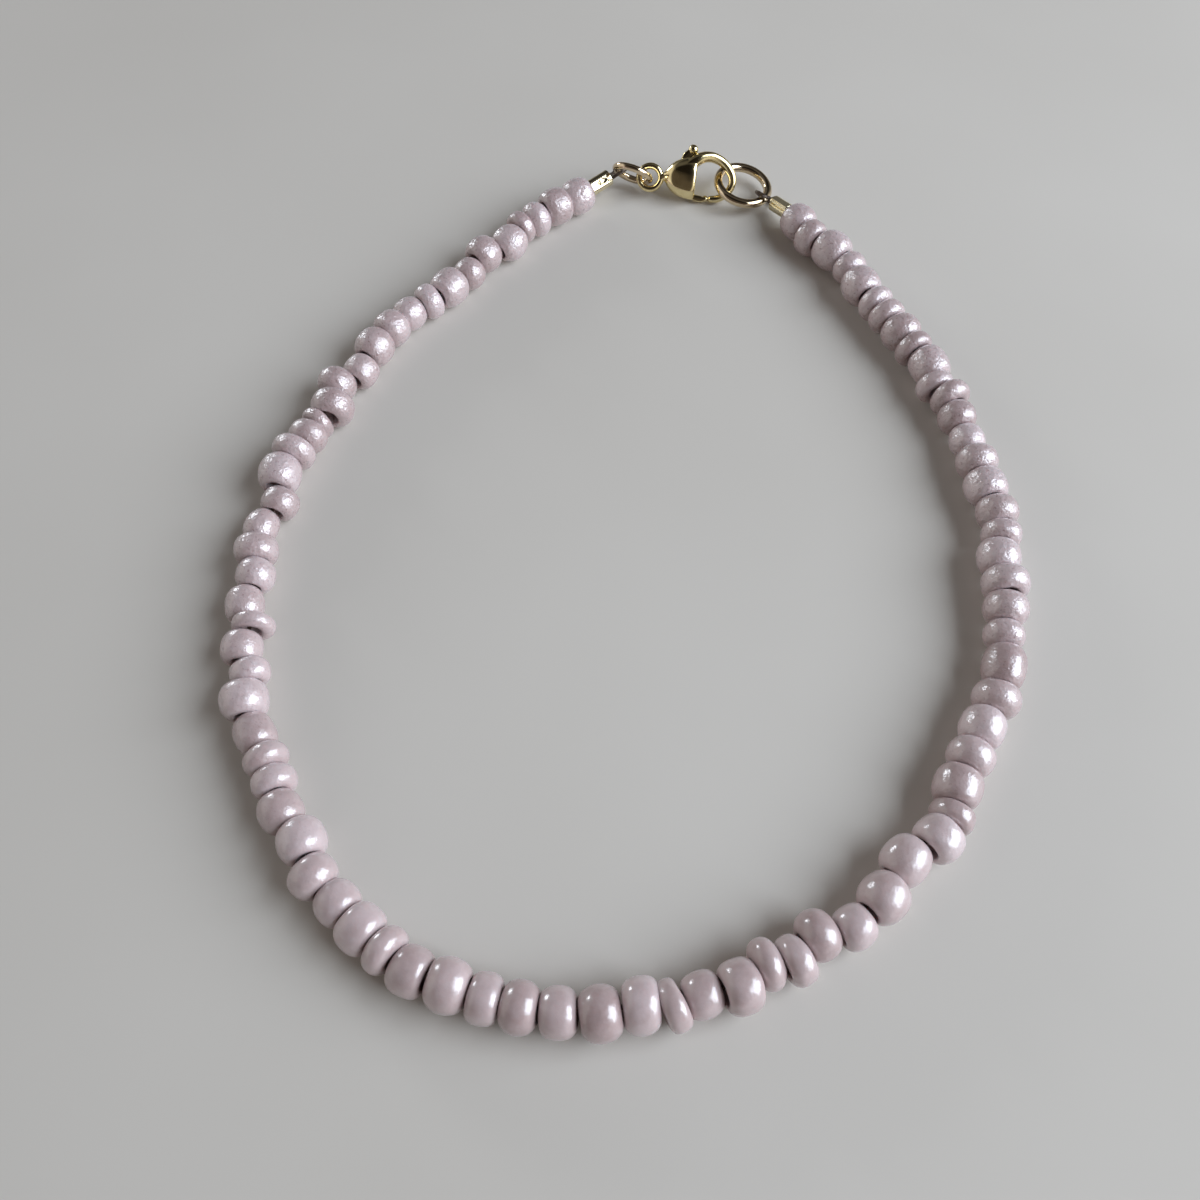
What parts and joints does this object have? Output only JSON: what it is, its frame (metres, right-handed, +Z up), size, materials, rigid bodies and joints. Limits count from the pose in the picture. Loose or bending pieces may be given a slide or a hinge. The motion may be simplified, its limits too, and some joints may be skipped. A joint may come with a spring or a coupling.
{
  "type": "seed bead bracelet",
  "caption": "Closed bracelet of small pearly glass beads on beading wire, with crimp tubes, a jump ring, a closed ring and a trigger clasp with a sprung lever. It lies flat as a loop.",
  "frame": {"origin": "on the table, under the middle of the whole bracelet's box", "axes": "+Z up from the table, +Y from the string's far bend towards the clasp, +X from the crimp at the clasp towards the end ring"},
  "size_m": [0.0512, 0.0684, 0.0039],
  "materials": {
    "beads": "opaque dusty mauve pink with a pearly lustre and a finely pitted skin",
    "crimp_gold": "bright gold-filled, pressed",
    "ring_gold": "polished gold-filled",
    "clasp_gold": "polished gold-filled, cast",
    "wire": "nylon-coated steel beading wire, brownish grey"
  },
  "bodies": {
    "bracelet": {"bead_strand": "beads", "crimp_clasp_end": "crimp_gold", "crimp_ring_end": "crimp_gold", "wire_loop_clasp_end": "wire", "wire_loop_ring_end": "wire", "jump_ring": "ring_gold", "end_ring": "ring_gold", "clasp_body": "clasp_gold", "lever_pin": "clasp_gold"},
    "lever": {"clasp_lever": "clasp_gold"}
  },
  "joints": [
    {"name": "lever_hinge", "type": "hinge", "parent": "bracelet", "child": "lever", "pos_m": [0.00533, 0.03138, 0.00083], "axis": [0, -0.788, 0.6157], "range_deg": [0, 26], "stiffness_Nm_per_rad": 0.001}
  ]
}
